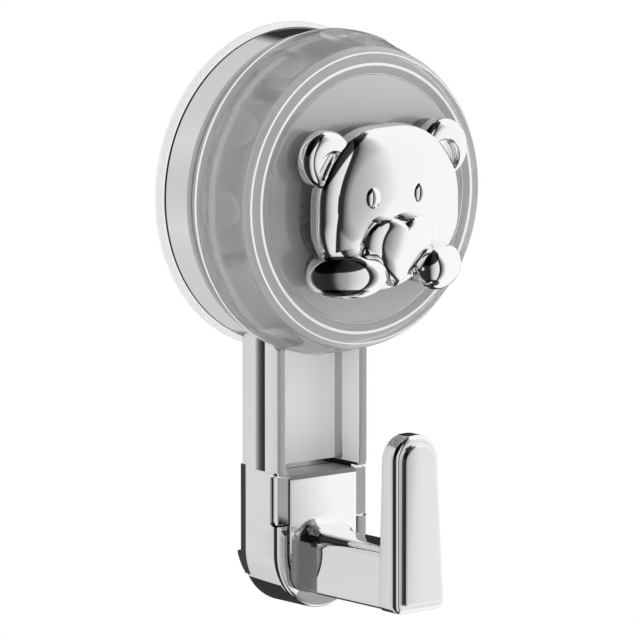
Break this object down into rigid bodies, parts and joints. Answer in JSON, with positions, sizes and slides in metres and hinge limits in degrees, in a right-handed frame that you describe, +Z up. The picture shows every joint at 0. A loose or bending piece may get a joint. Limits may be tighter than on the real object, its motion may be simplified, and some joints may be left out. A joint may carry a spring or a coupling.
{
  "type": "suction cup hook",
  "caption": "Wall hook on a large suction cup: round lock knob with grip dimples and a bear ornament, and a hanging channel that holds an upright hook.",
  "frame": {"origin": "middle of the suction pad's sealing rim, in the plane of the wall", "axes": "+Z up, -Y out of the wall towards the user, +X to the right as seen from in front"},
  "size_m": [0.0824, 0.056, 0.1474],
  "materials": {
    "chrome": "mirror chrome plating on moulded plastic",
    "clear_plastic": "clear glossy acrylic",
    "grey_plastic": "glossy mid grey",
    "disc_grey": "glossy silver grey",
    "soft_clear": "soft clear vinyl",
    "dark_rubber": "matt dark rubber",
    "brass": "turned brass",
    "steel": "zinc-plated steel",
    "white_nylon": "white nylon"
  },
  "bodies": {
    "base": {"bracket": "chrome", "hook": "chrome", "wall_bumper": "dark_rubber", "suction_pad": "soft_clear", "thrust_washer": "white_nylon"},
    "knob": {"knob_shell": "clear_plastic", "knob_core": "grey_plastic", "knob_nut": "brass", "face_disc": "disc_grey", "bear_base": "clear_plastic", "bear_figure": "chrome"},
    "stud": {"pull_stud": "steel"}
  },
  "joints": [
    {"name": "knob_turn", "type": "hinge", "parent": "base", "child": "knob", "pos_m": [0, 0, 0], "axis": [0, -1, 0], "range_deg": [0, 270]},
    {"name": "stud_slide", "type": "slide", "parent": "base", "child": "stud", "axis": [0, 1, 0], "range_m": [0, 0.00226], "deforming": ["suction_pad"]}
  ],
  "couplings": [
    {"joint": "stud_slide", "follows": "knob_turn", "m_per_rad": 0.00047746}
  ]
}
